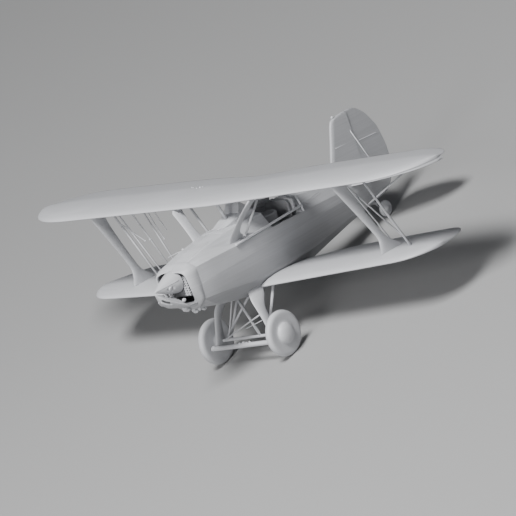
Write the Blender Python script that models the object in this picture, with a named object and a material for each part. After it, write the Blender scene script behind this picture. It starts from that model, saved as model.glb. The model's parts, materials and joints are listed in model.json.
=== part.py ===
import bpy
import bmesh
import math
from mathutils import Matrix, Quaternion, Vector

# Small display model of a single-seat biplane, printed in grey plastic.
# All shapes are drawn in millimetres in the rigging frame: X to the
# machine's left, Y aft along the body, Z up.  The stand empty then turns
# the whole model nose up, so that both wheels and the tail wheel touch z = 0.

MM = 0.001
FIT_GAP = 0.02                # clearance between glued faces

# wheels and stance
WHEEL_X = 17.9
WHEEL_Y = -5.6
WHEEL_Z = -21.3
WHEEL_R = 8.85
TAIL_WHEEL_Y = 83.6
TAIL_WHEEL_Z = -4.0
TAIL_WHEEL_R = 3.2
AXLE_R = 0.58
BORE_R = 0.65
TAIL_PIN_R = 0.34
TAIL_BORE_R = 0.4

# wings: spans and chords, and where the leading edges lie at the root
WING_THICKNESS = 0.086        # share of the chord
UPPER_WING = dict(semi_span=104.0, root_x=0.0, chord=33.7, lead_y=-3.2, z=30.8,
                  dihedral=0.017, sweep=0.0, tip_length=27.0, tip_apex=0.60, tip_power=2.3,
                  cut_depth=2.6, cut_from=9.0, cut_to=24.0)
LOWER_WING = dict(semi_span=90.0, root_x=8.0, chord=35.6, lead_y=1.2, z=-4.4,
                  dihedral=0.034, sweep=0.027, tip_length=16.0, tip_apex=0.42, tip_power=2.4,
                  cut_depth=5.0, cut_from=9.0, cut_to=27.0)
ROOT_OVERLAP = 2.6            # how far the lower wings are drawn into the body

# nose
SPINNER_BASE_Y = -33.1
SPINNER_Z = 12.0
SPINNER_R = 5.25
SPINNER_LENGTH = 11.9
SHAFT_R = 0.9
SHAFT_BORE_R = 0.97
BLADE_ROOT_Y = -38.5
BLADE_ROOT_R = 0.95
BLADE_ROOT_DROP_DEG = 19.0    # the blades stopped with one root a little low

# tail
RUDDER_POST_Y = 79.2
RUDDER_GAP = 0.1
TAILPLANE_Z = 11.0
RUDDER_REAR = (94.7, 15.4)    # furthest aft point of the rudder, y and z


def parked(y, z):
    """Place of a rigging frame point after the stand has turned it nose up."""
    lean = stance_angle()
    return (y * math.cos(lean) + z * math.sin(lean),
            z * math.cos(lean) - y * math.sin(lean))


def stance_angle():
    run = TAIL_WHEEL_Y - WHEEL_Y
    rise = TAIL_WHEEL_Z - WHEEL_Z
    reach = math.hypot(run, rise)
    return math.atan2(rise, run) + math.asin((WHEEL_R - TAIL_WHEEL_R) / reach)


def clear_scene():
    for item in list(bpy.data.objects):
        bpy.data.objects.remove(item, do_unlink=True)


def plastic(name, tone):
    """Grey printed plastic with its own tone."""
    mat = bpy.data.materials.new(name)
    mat.use_nodes = True
    shader = mat.node_tree.nodes["Principled BSDF"]
    shader.inputs["Base Color"].default_value = (tone, tone, tone * 1.02, 1.0)
    shader.inputs["Roughness"].default_value = 0.6
    shader.inputs["Metallic"].default_value = 0.0
    return mat


def add_piece(name, shape, parent, tone=0.5, smooth_angle=30.0):
    """Make one named piece of a shape drawn in millimetres."""
    bmesh.ops.scale(shape, vec=(MM, MM, MM), verts=shape.verts)
    bmesh.ops.recalc_face_normals(shape, faces=shape.faces)
    mesh = bpy.data.meshes.new(name)
    shape.to_mesh(mesh)
    shape.free()
    obj = bpy.data.objects.new(name, mesh)
    bpy.context.scene.collection.objects.link(obj)
    obj.parent = parent
    mesh.materials.append(plastic(name + "_plastic", tone))
    if smooth_angle > 0.0:
        mesh.shade_smooth()
        mesh.set_sharp_from_angle(angle=math.radians(smooth_angle))
    return obj


def add_cutter(name, shape, parent):
    """A hidden helper that trims its neighbours."""
    obj = add_piece(name + "_cutter", shape, parent)
    obj.hide_render = True
    obj.display_type = "WIRE"
    return obj


def add_pair(name, maker, parent, tone=0.5, **extra):
    """The left and the right one of a mirrored piece."""
    return [add_piece(name + "_" + word, maker(side), parent, tone, **extra)
            for side, word in ((1, "left"), (-1, "right"))]


def add_empty(name, parent, place, turn=(0.0, 0.0, 0.0)):
    empty = bpy.data.objects.new(name, None)
    bpy.context.scene.collection.objects.link(empty)
    empty.parent = parent
    empty.location = [value * MM for value in place]
    empty.rotation_euler = turn
    return empty


def cut(target, *cutters):
    for cutter in cutters:
        trim = target.modifiers.new("trim_" + cutter.name, "BOOLEAN")
        trim.operation = "DIFFERENCE"
        trim.solver = "EXACT"
        trim.object = cutter


def skin(rings):
    """Skin a run of equal rings and close both ends."""
    shape = bmesh.new()
    rows = [[shape.verts.new(point) for point in ring] for ring in rings]
    count = len(rows[0])
    for row, after in zip(rows, rows[1:]):
        for i in range(count):
            j = (i + 1) % count
            shape.faces.new((row[i], row[j], after[j], after[i]))
    shape.faces.new(rows[0])
    shape.faces.new(tuple(reversed(rows[-1])))
    bmesh.ops.triangulate(shape, faces=shape.faces[:], quad_method="FIXED")
    return shape


def turned(profile, count=32):
    """Turn a profile of (along, radius) pairs about the X axis."""
    shape = bmesh.new()
    rows = []
    for along, radius in profile:
        if radius <= 0.0:
            rows.append([shape.verts.new((along, 0.0, 0.0))])
            continue
        angles = [2.0 * math.pi * i / count for i in range(count)]
        rows.append([shape.verts.new((along, radius * math.cos(a), radius * math.sin(a)))
                     for a in angles])
    for row, after in zip(rows, rows[1:]):
        for i in range(count):
            j = (i + 1) % count
            if len(row) == 1:
                shape.faces.new((row[0], after[j], after[i]))
            elif len(after) == 1:
                shape.faces.new((row[i], row[j], after[0]))
            else:
                shape.faces.new((row[i], row[j], after[j], after[i]))
    return shape


def turned_about(axis, profile, count=32, centre=(0.0, 0.0, 0.0)):
    """A turned shape whose axis points along the given direction."""
    shape = turned(profile, count)
    aim = Vector(axis).normalized().to_track_quat("X", "Z").to_matrix().to_4x4()
    bmesh.ops.transform(shape, matrix=Matrix.Translation(centre) @ aim, verts=shape.verts)
    return shape


def bar(start, end, radius, count=8):
    """Straight round bar between two points."""
    a = Vector(start)
    b = Vector(end)
    length = (b - a).length
    profile = [(0.0, 0.0), (0.0, radius), (length, radius), (length, 0.0)]
    return turned_about(b - a, profile, count, centre=a)


def bent_bar(points, radii, count=10):
    """Round bar along a bent line, with its own radius at each point."""
    path = [Vector(point) for point in points]
    ways = [(b - a).normalized() for a, b in zip(path, path[1:])]
    aim = ways[0].to_track_quat("Z", "X")
    rings = []
    for i, (centre, radius) in enumerate(zip(path, radii)):
        before = ways[max(0, i - 1)]
        after = ways[min(i, len(ways) - 1)]
        if i > 0:
            aim = before.rotation_difference(after) @ aim if i < len(ways) else aim
        half_turn = after.rotation_difference(before).slerp(Quaternion(), 0.5)
        stretch = 1.0 / max(0.5, (0.5 * (before + after)).length)
        hinge = before.cross(after)
        ring = []
        for k in range(count):
            turn = 2.0 * math.pi * k / count
            spoke = half_turn @ (aim @ Vector((math.cos(turn), math.sin(turn), 0.0)))
            if hinge.length > 0.001:
                across = hinge.normalized()
                spoke = across * spoke.dot(across) + (spoke - across * spoke.dot(across)) * stretch
            ring.append(centre + radius * spoke)
        rings.append(ring)
    return skin(rings)


def strut(rows, side=1, count=12, grow=0.0):
    """Streamlined strut.  Rows: centre x, lead y, trail y, z, thickness."""
    rings = []
    for x, lead, trail, z, thick in rows:
        ring = []
        for i in range(count):
            turn = 2.0 * math.pi * i / count
            share = 0.5 - 0.5 * math.cos(turn)
            bulge = math.sin(turn) * (1.15 - 0.45 * share)
            wide = (0.5 * thick + 2.0 * grow) * bulge
            along = lead + (trail - lead) * share + grow * (2.0 * share - 1.0)
            ring.append((side * (x + wide), along, z))
        rings.append(ring)
    return skin(rings)


# Wings

AIRFOIL = (                   # chord share, height above the chord line, in thicknesses
    (0.000, 0.00),
    (0.010, 0.17),
    (0.035, 0.34),
    (0.090, 0.53),
    (0.180, 0.68),
    (0.300, 0.74),
    (0.450, 0.70),
    (0.620, 0.55),
    (0.800, 0.34),
    (0.930, 0.17),
    (1.000, 0.07),
    (1.000, -0.03),
    (0.800, -0.10),
    (0.500, -0.20),
    (0.250, -0.27),
    (0.100, -0.25),
    (0.035, -0.18),
    (0.010, -0.10),
)
TIP_SHARES = (1.0, 0.8, 0.62, 0.46, 0.32, 0.2, 0.115, 0.055, 0.02, 0.0)
TIP_EDGE = 0.06               # chord left at the very tip, as a share


def airfoil_ring(x, lead_y, chord, z, thickness, grow=0.0):
    ring = []
    for share, height in AIRFOIL:
        y = lead_y + chord * share + grow * (2.0 * share - 1.0)
        lift = height * thickness + (grow if height > 0.0 else -grow)
        ring.append((x, y, z + lift))
    return ring


def root_cut(wing, x):
    """How much of the trailing edge is cut away near the body."""
    share = (wing["cut_to"] - x) / (wing["cut_to"] - wing["cut_from"])
    share = min(1.0, max(0.0, share))
    return wing["cut_depth"] * share * share * (3.0 - 2.0 * share)


def wing_ring(wing, x, grow=0.0):
    """One rib of the wing, with the rounded tip outline worked in."""
    left = wing["semi_span"] - x
    out = min(1.0, max(0.0, 1.0 - left / wing["tip_length"]))
    fall = math.sqrt(max(0.0, 1.0 - out ** wing["tip_power"]))
    width = wing["chord"] * max(fall, TIP_EDGE)
    lead_y = wing["lead_y"] + wing["sweep"] * x + wing["tip_apex"] * (wing["chord"] - width)
    thickness = wing["chord"] * WING_THICKNESS * 0.35 + width * WING_THICKNESS * 0.65
    z = wing["z"] + wing["dihedral"] * (x - wing["root_x"])
    return airfoil_ring(x, lead_y, width - root_cut(wing, x), z, thickness, grow)


def wing_half(wing, start_x, grow=0.0):
    tip_start = wing["semi_span"] - wing["tip_length"]
    middle = 0.5 * (wing["cut_to"] + tip_start)
    middle_cut = 0.5 * (wing["cut_from"] + wing["cut_to"])
    stations = [start_x, wing["cut_from"], middle_cut, wing["cut_to"], middle]
    stations += [wing["semi_span"] - share * wing["tip_length"] for share in TIP_SHARES]
    return [wing_ring(wing, x, grow) for x in stations]


def mirror_ring(ring):
    return [(-x, y, z) for x, y, z in ring]


def upper_wing(grow=0.0):
    half = wing_half(UPPER_WING, 0.0, grow)
    return skin([mirror_ring(ring) for ring in reversed(half[1:])] + half)


def lower_wing(side, grow=0.0):
    half = wing_half(LOWER_WING, LOWER_WING["root_x"] - ROOT_OVERLAP, grow)
    if side < 0:
        half = [mirror_ring(ring) for ring in half]
    return skin(half)


# Body

BODY_STATIONS = (
    # y, ridge z, shoulder x, z, upper edge x, z, middle edge x, z, lower edge x, z, belly x, z
    (-34.0, 16.6, 5.0, 16.3, 8.4, 15.0, 8.4, 8.4, 6.6, 2.8, 3.0, 1.6),
    (-30.0, 18.0, 5.6, 17.5, 9.2, 15.5, 9.2, 8.8, 8.6, 3.0, 4.4, -0.2),
    (-20.0, 19.9, 6.3, 19.2, 9.9, 15.4, 10.0, 9.0, 9.2, 1.8, 5.4, -2.9),
    (-4.0, 21.6, 6.5, 20.8, 10.2, 14.9, 10.4, 9.2, 9.6, -0.4, 5.6, -6.0),
    (14.0, 21.8, 6.3, 20.4, 9.9, 14.3, 10.1, 9.2, 9.0, -1.6, 5.4, -6.8),
    (34.6, 20.8, 5.0, 19.4, 8.2, 13.2, 8.4, 8.8, 7.2, -1.6, 4.2, -5.6),
    (62.0, 16.4, 2.8, 15.2, 4.1, 11.2, 4.3, 7.8, 3.1, 0.3, 1.8, -1.6),
    (78.6, 13.4, 1.2, 12.6, 1.7, 10.1, 1.8, 7.1, 1.2, 1.1, 0.7, 0.4),
)
LIP_SET_BACK = (1.6, 0.9, -0.5, 0.1, 2.4, 3.8)   # of each point of the front section
MOUTH_SHARE = 0.9             # opening of the cowl over its outer size
MOUTH_MIDDLE_Z = 8.6
MOUTH_DEPTH_Y = -25.0


def body_ring(row, set_back=(0.0,) * 6, grow=0.0):
    y, ridge, sx, sz, ux, uz, mx, mz, lx, lz, bx, bz = row
    half = [(0.0, ridge), (sx, sz), (ux, uz), (mx, mz), (lx, lz), (bx, bz)]
    share = 1.0 + grow / mx
    half = [(x * share, y + back, mz + (z - mz) * share)
            for (x, z), back in zip(half, set_back)]
    return half + [(-x, own_y, z) for x, own_y, z in reversed(half[1:])]


def body(grow=0.0):
    front = body_ring(BODY_STATIONS[0], [back - grow for back in LIP_SET_BACK], grow)
    middle = [body_ring(row, grow=grow) for row in BODY_STATIONS[1:-1]]
    return skin([front] + middle + [body_ring(BODY_STATIONS[-1], [grow] * 6, grow)])


def mouth():
    front = body_ring(BODY_STATIONS[0])
    rings = []
    for y in (-37.0, MOUTH_DEPTH_Y):
        rings.append([(x * MOUTH_SHARE, y, MOUTH_MIDDLE_Z + (z - MOUTH_MIDDLE_Z) * MOUTH_SHARE)
                      for x, _, z in front])
    return skin(rings)


COCKPIT_STATIONS = (          # y, half width inside, sill z
    (14.8, 8.7, 14.35),
    (33.2, 7.3, 13.35),
)
COCKPIT_FLOOR_Z = 7.5
COCKPIT_CLEAR = 13.0          # half width of the cut above the sills


def cockpit():
    """The open cockpit: the deck is cut down to the sills, with a well between them."""
    rings = []
    for y, half_width, sill in COCKPIT_STATIONS:
        half = [(half_width, COCKPIT_FLOOR_Z), (half_width, sill),
                (COCKPIT_CLEAR, sill), (COCKPIT_CLEAR, 30.0)]
        rings.append([(x, y, z) for x, z in half] + [(-x, y, z) for x, z in reversed(half)])
    return skin(rings)


CHIN_STATIONS = (             # y, top z, edge half width, edge z, keel z
    (-44.6, 10.9, 0.35, 10.7, 10.3),
    (-43.5, 10.4, 1.2, 9.4, 7.3),
    (-42.3, 9.6, 2.2, 8.2, 5.8),
    (-39.6, 7.7, 3.8, 5.7, 4.2),
    (-35.6, 6.6, 5.9, 2.9, 2.5),
    (-35.4, 3.1, 6.0, 2.8, 2.3),
    (-30.0, 2.4, 6.4, 2.3, 0.2),
)


def chin():
    rings = []
    for y, top, half_width, edge, keel in CHIN_STATIONS:
        low = keel + 0.15 * (edge - keel)
        rings.append([(0.0, y, top), (half_width, y, edge), (0.6 * half_width, y, low),
                      (0.0, y, keel), (-0.6 * half_width, y, low), (-half_width, y, edge)])
    return skin(rings)


def scoop_slot():
    """The flat mouth of the scoop under the nose."""
    rings = []
    for y, z, half_width, height in ((-46.0, 9.6, 3.4, 1.2), (-42.6, 7.2, 2.2, 1.1),
                                     (-40.0, 5.9, 0.8, 0.7)):
        rings.append([(half_width, y, z - 0.5 * height), (half_width, y, z + 0.5 * height),
                      (-half_width, y, z + 0.5 * height), (-half_width, y, z - 0.5 * height)])
    return skin(rings)


SCREEN_HUMP_ROWS = (          # y, half width, top z
    (-4.5, 2.4, 21.7),
    (1.9, 4.0, 23.4),
    (6.0, 4.5, 24.0),
    (12.6, 4.3, 24.0),
    (14.0, 4.0, 23.2),
)
HUMP_BASE_Z = 18.0


def screen_hump(grow=0.0):
    rings = []
    for y, half_width, top in SCREEN_HUMP_ROWS:
        wide = half_width + grow
        high = top + grow
        half = [(wide, HUMP_BASE_Z), (wide, high - 1.0), (0.7 * wide, high)]
        rings.append([(x, y, z) for x, z in half] + [(-x, y, z) for x, z in reversed(half)])
    return skin(rings)


def windscreen():
    """Flat slanted pane, thick as it is printed, standing on the hump."""
    rings = []
    for z, front, half_width in ((24.05, 5.9, 4.0), (27.6, 8.3, 3.5)):
        rings.append([(half_width, front, z), (half_width, front + 1.3, z),
                      (-half_width, front + 1.3, z), (-half_width, front, z)])
    return skin(rings)


SEAT_PROFILE = (              # height, radius of the bucket seat
    (7.6, 0.0),
    (7.6, 4.6),
    (15.6, 5.2),
    (17.3, 5.2),
    (17.7, 4.8),
    (17.4, 4.35),
    (12.4, 4.1),
    (12.2, 0.0),
)
SEAT_CENTRE_Y = 21.7


def seat_back():
    """Curved shell behind the seat, hollow side forward."""
    front = []
    rear = []
    for i in range(9):
        x = -6.0 + 1.5 * i
        y = 31.4 - 1.8 * (x / 6.0) ** 2
        front.append((x, y))
        rear.append((x, y + 1.1))
    outline = front + list(reversed(rear))
    return skin([[(x, y, z) for x, y in outline] for z in (COCKPIT_FLOOR_Z + 0.05, 18.2)]
                + [[(0.86 * x, y, 19.6) for x, y in outline]])


# Round pieces

MAIN_WHEEL_PROFILE = (        # along the axle (outboard is +), radius
    (0.9, 0.0),
    (0.9, BORE_R),
    (-1.9, BORE_R),
    (-1.9, 1.9),
    (-1.4, 2.9),
    (-1.15, 6.2),
    (-1.4, 7.1),
    (-1.3, 8.0),
    (-0.8, 8.65),
    (0.0, 8.85),
    (0.8, 8.65),
    (1.3, 8.0),
    (1.4, 7.1),
    (1.35, 5.4),
    (1.3, 3.6),
    (1.5, 3.15),
    (2.05, 2.8),
    (2.65, 1.9),
    (2.95, 0.9),
    (3.05, 0.0),
)

TAIL_FORK_POINTS = (          # from the body down beside the wheel, then in as its pin
    (-0.3, 75.0, 1.6),
    (-1.2, 80.4, -0.6),
    (-1.75, 82.9, -3.0),
    (-1.75, TAIL_WHEEL_Y, TAIL_WHEEL_Z),
    (0.4, TAIL_WHEEL_Y, TAIL_WHEEL_Z),
)
TAIL_FORK_RADII = (0.7, 0.55, 0.45, TAIL_PIN_R, TAIL_PIN_R)

TAIL_WHEEL_PROFILE = (
    (0.6, 0.0),
    (0.6, TAIL_BORE_R),
    (-1.1, TAIL_BORE_R),
    (-1.1, 1.1),
    (-0.7, 2.1),
    (-0.8, 2.7),
    (-0.45, 3.1),
    (0.0, 3.2),
    (0.45, 3.1),
    (0.8, 2.7),
    (0.7, 2.1),
    (0.85, 1.3),
    (1.2, 0.7),
    (1.3, 0.0),
)

SPINNER_SHARES = (0.12, 0.28, 0.45, 0.62, 0.78, 0.92)


def spinner_radius(share):
    return SPINNER_R * (1.0 - share ** 1.35)


# Struts, stays and landing gear

INTERPLANE_ROWS = (           # centre x, lead y, trail y, z, thickness
    (64.1, -1.8, 5.8, 32.4, 1.8),
    (64.2, -2.4, 5.4, 31.2, 1.8),
    (64.3, -2.0, 5.0, 30.2, 1.6),
    (64.5, -0.1, 5.8, 26.6, 1.6),
    (64.9, 5.1, 9.6, 16.9, 1.6),
    (65.5, 10.2, 14.0, 7.1, 1.6),
    (65.7, 10.7, 15.2, 4.9, 1.6),
    (65.8, 10.1, 18.2, 2.3, 1.6),
    (65.9, 9.3, 21.2, 0.0, 1.7),
    (65.9, 9.0, 21.6, -1.4, 1.7),
)

CABANE_ROWS = (
    (8.2, -9.0, 0.2, 15.6, 1.7),
    (8.8, -8.4, 0.0, 17.2, 1.6),
    (9.6, -7.9, -2.0, 18.6, 1.5),
    (11.5, -6.9, -2.6, 21.0, 1.4),
    (16.0, -5.3, -0.8, 26.2, 1.4),
    (19.6, -4.0, 1.2, 29.6, 1.5),
    (20.7, -1.9, 3.2, 31.6, 1.7),
)

GEAR_LEG_ROWS = (
    (7.6, -9.0, 3.0, -1.4, 2.0),
    (9.0, -9.2, 2.0, -4.0, 2.0),
    (9.8, -8.8, 0.3, -6.6, 1.9),
    (11.0, -8.5, -3.4, -9.2, 1.7),
    (12.5, -8.4, -4.8, -13.6, 1.6),
    (14.4, -8.9, -4.0, -20.0, 1.6),
    (14.6, -9.8, -3.6, -22.4, 1.5),
)

FRONT_BAR_Y = -10.6           # thick cross bar ahead of the axle
FRONT_BAR_Z = -22.7
FRONT_BAR_R = 0.95

STAY_ROWS = (                 # name, start point, end point, radius
    ("bay_stay_left_1", (59.9, 16.0, 32.2), (76.1, 16.0, -1.4), 0.50),
    ("bay_stay_left_2", (42.8, 20.0, 31.8), (72.9, 20.0, -1.4), 0.28),
    ("bay_stay_left_3", (47.8, 18.0, 31.8), (64.6, 20.0, -1.6), 0.28),
    ("bay_stay_right_1", (-60.6, 5.0, 32.0), (-43.9, 5.0, -2.8), 0.40),
    ("bay_stay_right_2", (-58.2, 5.0, 32.0), (-40.3, 5.0, -2.8), 0.30),
    ("bay_stay_right_3", (-50.9, 5.0, 31.8), (-35.0, 5.0, -3.0), 0.30),
    ("bay_stay_right_4", (-44.4, 5.0, 31.6), (-31.9, 5.0, -3.2), 0.30),
    ("cabane_stay_left", (20.4, 5.1, 32.2), (8.2, 1.1, 15.8), 0.50),
    ("cabane_stay_right", (-20.4, 5.1, 32.2), (-8.2, 1.1, 15.8), 0.50),
    ("centre_post", (0.8, -0.7, 32.0), (0.8, 2.9, 20.5), 0.62),
    ("rear_gear_strut_left", (9.2, 6.9, -4.4), (10.0, WHEEL_Y, WHEEL_Z), 0.55),
    ("rear_gear_strut_right", (-9.2, 6.9, -4.4), (-10.0, WHEEL_Y, WHEEL_Z), 0.55),
    ("cross_strut_1", (0.4, -6.0, -4.6), (5.9, WHEEL_Y, WHEEL_Z), 0.55),
    ("cross_strut_2", (7.0, -4.0, -4.2), (-12.6, WHEEL_Y, WHEEL_Z), 0.55),
    ("fin_rod_left", (0.3, 78.3, 30.6), (8.9, 78.3, 11.3), 0.28),
    ("fin_rod_right", (-0.3, 78.3, 30.6), (-8.9, 78.3, 11.3), 0.28),
    ("tailplane_strut_left", (0.6, 74.0, 0.6), (22.9, 77.0, 11.1), 0.36),
    ("tailplane_strut_right", (-0.6, 74.0, 0.6), (-22.9, 77.0, 11.1), 0.36),
)

# Tail

FIN_ROWS = (                  # z, lead y, half thickness
    (10.4, 60.6, 1.0),
    (20.0, 63.2, 1.0),
    (35.1, 70.0, 0.95),
    (37.4, 71.8, 0.85),
    (38.6, 73.8, 0.7),
    (39.1, 77.0, 0.5),
)
RUDDER_ROWS = (               # z, trail y, half thickness at the post
    (0.9, 82.0, 0.8),
    (2.4, 88.6, 0.8),
    (7.3, 92.6, 0.85),
    (15.4, 94.7, 0.9),
    (24.9, 93.4, 0.85),
    (29.8, 91.1, 0.75),
    (33.7, 88.2, 0.65),
    (36.9, 84.0, 0.55),
    (38.7, 80.2, 0.45),
)
TAILPLANE_ROWS = (            # x, lead y, trail y
    (1.0, 66.2, 78.9),
    (2.2, 66.8, 84.0),
    (6.0, 67.8, 89.0),
    (14.0, 70.6, 92.4),
    (23.5, 75.0, 93.4),
    (28.5, 79.0, 92.6),
    (31.0, 83.0, 91.0),
    (32.2, 86.6, 89.2),
)


def fin(grow=0.0):
    rings = []
    for z, lead, half_thickness in FIN_ROWS:
        half = half_thickness + grow
        trail = RUDDER_POST_Y - RUDDER_GAP
        rings.append([(0.0, lead, z), (0.75 * half, lead + 0.5, z), (half, lead + 1.8, z),
                      (0.8 * half, trail, z), (-0.8 * half, trail, z),
                      (-half, lead + 1.8, z), (-0.75 * half, lead + 0.5, z)])
    return skin(rings)


def rudder():
    rings = []
    for z, trail, half in RUDDER_ROWS:
        rings.append([(half, RUDDER_POST_Y, z), (0.15, trail, z),
                      (-0.15, trail, z), (-half, RUDDER_POST_Y, z)])
    return skin(rings)


def tailplane(side, grow=0.0):
    rings = []
    for x, lead, trail in TAILPLANE_ROWS:
        thickness = 0.6 + 0.05 * (trail - lead)
        ring = airfoil_ring(x, lead, trail - lead, TAILPLANE_Z, thickness, grow)
        rings.append([(side * px, y, z) for px, y, z in ring])
    return skin(rings)


RAIL_POINTS = ((10.7, -7.0, 15.5), (7.9, 34.8, 15.6))
RAIL_R = 0.36
ENGINE_OUTLINE = ((-6.0, 5.2), (-7.0, 13.2), (-3.6, 14.6), (3.6, 14.6), (7.0, 13.2), (6.0, 5.2))
ENGINE_FRONT_Y = -31.6
ENGINE_REAR_Y = -25.3


def build_body(stand):
    shell = add_piece("fuselage", body(), stand, 0.50, smooth_angle=0.0)
    cut(shell, add_cutter("mouth", mouth(), stand), add_cutter("cockpit", cockpit(), stand))
    grown = add_cutter("body", body(FIT_GAP), stand)

    jaw = add_piece("chin_cowl", chin(), stand, 0.52, smooth_angle=0.0)
    cut(jaw, add_cutter("scoop", scoop_slot(), stand), grown)
    hump = add_piece("screen_hump", screen_hump(), stand, 0.5, smooth_angle=0.0)
    cut(hump, grown)
    add_piece("windscreen", windscreen(), stand, 0.42, smooth_angle=0.0)
    seat = turned_about((0.0, 0.0, 1.0), SEAT_PROFILE, 24, centre=(0.0, SEAT_CENTRE_Y, 0.0))
    add_piece("seat", seat, stand, 0.46)
    add_piece("seat_back", seat_back(), stand, 0.48)

    def rail(side):
        (x0, y0, z0), (x1, y1, z1) = RAIL_POINTS
        return bar((side * x0, y0, z0), (side * x1, y1, z1), RAIL_R)

    for piece in add_pair("cockpit_rail", rail, stand, 0.54):
        cut(piece, grown)

    block = skin([[(x, y, z) for x, z in ENGINE_OUTLINE] for y in (ENGINE_FRONT_Y, ENGINE_REAR_Y)])
    add_piece("engine_block", block, stand, 0.45, smooth_angle=0.0)
    return grown


def build_wings(stand, body_grown):
    add_piece("upper_wing", upper_wing(), stand, 0.54)
    for piece in add_pair("lower_wing", lower_wing, stand, 0.53):
        cut(piece, body_grown)
    upper = add_cutter("upper_wing", upper_wing(FIT_GAP), stand)
    lower = {1: add_cutter("lower_wing_left", lower_wing(1, FIT_GAP), stand),
             -1: add_cutter("lower_wing_right", lower_wing(-1, FIT_GAP), stand)}
    return upper, lower


def build_struts(stand, body_grown, upper, lower):
    for side, piece in zip((1, -1), add_pair("interplane_strut",
                                             lambda s: strut(INTERPLANE_ROWS, s), stand, 0.52)):
        cut(piece, upper, lower[side])
    for piece in add_pair("front_cabane_strut", lambda s: strut(CABANE_ROWS, s), stand, 0.52):
        cut(piece, upper, body_grown)

    axle_ends = (-(WHEEL_X + 0.7), WHEEL_Y, WHEEL_Z), (WHEEL_X + 0.7, WHEEL_Y, WHEEL_Z)
    add_piece("axle", bar(*axle_ends, AXLE_R, 16), stand, 0.52)
    axle_cutter = add_cutter("axle", bar(*axle_ends, AXLE_R + FIT_GAP, 16), stand)
    bar_ends = (-15.9, FRONT_BAR_Y, FRONT_BAR_Z), (15.3, FRONT_BAR_Y, FRONT_BAR_Z)
    add_piece("front_gear_bar", bar(*bar_ends, FRONT_BAR_R, 12), stand, 0.52)
    bar_cutter = add_cutter("front_bar", bar(*bar_ends, FRONT_BAR_R + FIT_GAP, 12), stand)
    for side, piece in zip((1, -1), add_pair("gear_leg", lambda s: strut(GEAR_LEG_ROWS, s),
                                             stand, 0.52)):
        cut(piece, body_grown, lower[side], axle_cutter, bar_cutter)
    legs = {side: add_cutter("gear_leg_" + word, strut(GEAR_LEG_ROWS, side, grow=FIT_GAP), stand)
            for side, word in ((1, "left"), (-1, "right"))}
    left_strut = add_cutter("left_strut", strut(INTERPLANE_ROWS, 1, grow=FIT_GAP), stand)
    hump = add_cutter("hump", screen_hump(FIT_GAP), stand)

    for name, start, end, radius in STAY_ROWS:
        piece = add_piece(name, bar(start, end, radius, 8), stand, 0.53)
        side = 1 if start[0] + end[0] > 0.0 else -1
        trims = [body_grown]
        if max(start[2], end[2]) > UPPER_WING["z"]:
            trims.append(upper)
        if min(start[2], end[2]) < 0.0 and max(abs(start[0]), abs(end[0])) > 8.0:
            trims.append(lower[side])
        if "gear" in name or name.startswith("cross_strut"):
            trims += [axle_cutter, legs[side]]
        if name == "bay_stay_left_3":
            trims.append(left_strut)
        if name == "centre_post":
            trims.append(hump)
        cut(piece, *trims)


def build_tail(stand, body_grown):
    upright = add_piece("fin", fin(), stand, 0.51)
    cut(upright, body_grown)
    add_piece("rudder", rudder(), stand, 0.51)
    for piece in add_pair("tailplane", tailplane, stand, 0.52):
        cut(piece, body_grown)
    fin_grown = add_cutter("fin", fin(FIT_GAP), stand)
    for side, word in ((1, "left"), (-1, "right")):
        half = add_cutter("tailplane_" + word, tailplane(side, FIT_GAP), stand)
        cut(bpy.data.objects["fin_rod_" + word], half, fin_grown)
        cut(bpy.data.objects["tailplane_strut_" + word], half)


def build_moving(stand, body_grown):
    for side, word in ((1, "left"), (-1, "right")):
        hub = add_empty("hub_" + word, stand, (side * WHEEL_X, WHEEL_Y, WHEEL_Z))
        profile = [(side * along, radius) for along, radius in MAIN_WHEEL_PROFILE]
        add_piece("wheel_" + word, turned(profile), hub, 0.53)

    fork = add_piece("tail_fork", bent_bar(TAIL_FORK_POINTS, TAIL_FORK_RADII), stand, 0.52)
    cut(fork, body_grown)
    hub = add_empty("tail_hub", stand, (0.0, TAIL_WHEEL_Y, TAIL_WHEEL_Z))
    add_piece("tail_wheel", turned(TAIL_WHEEL_PROFILE, 24), hub, 0.53)

    forward = (0.0, -1.0, 0.0)
    nose = add_empty("propeller_axis", stand, (0.0, SPINNER_BASE_Y, SPINNER_Z))
    profile = [(3.0, 0.0), (3.0, SHAFT_BORE_R), (0.0, SHAFT_BORE_R), (0.0, SPINNER_R)]
    profile += [(SPINNER_LENGTH * share, spinner_radius(share)) for share in SPINNER_SHARES]
    profile.append((SPINNER_LENGTH, 0.0))
    cone = add_piece("spinner", turned_about(forward, profile), nose, 0.54)
    drop = math.radians(BLADE_ROOT_DROP_DEG)
    for side, word in ((1, "left"), (-1, "right")):
        axis = (side * math.cos(drop), 0.0, -side * math.sin(drop))
        centre = (0.0, BLADE_ROOT_Y - SPINNER_BASE_Y, 0.0)
        stub = [(1.9, 0.0), (1.9, BLADE_ROOT_R), (3.75, BLADE_ROOT_R), (3.95, 0.0)]
        socket = [(1.88, 0.0), (1.88, BLADE_ROOT_R + FIT_GAP), (6.0, BLADE_ROOT_R + FIT_GAP),
                  (6.0, 0.0)]
        add_piece("blade_root_" + word, turned_about(axis, stub, 16, centre), nose, 0.55)
        cut(cone, add_cutter("blade_socket_" + word, turned_about(axis, socket, 16, centre), nose))

    shaft_end = -(ENGINE_FRONT_Y - SPINNER_BASE_Y) + FIT_GAP
    shaft = [(shaft_end, 0.0), (shaft_end, SHAFT_R), (2.7, SHAFT_R), (2.7, 0.0)]
    add_piece("prop_shaft", turned_about(forward, shaft, 16), nose, 0.52)


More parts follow.
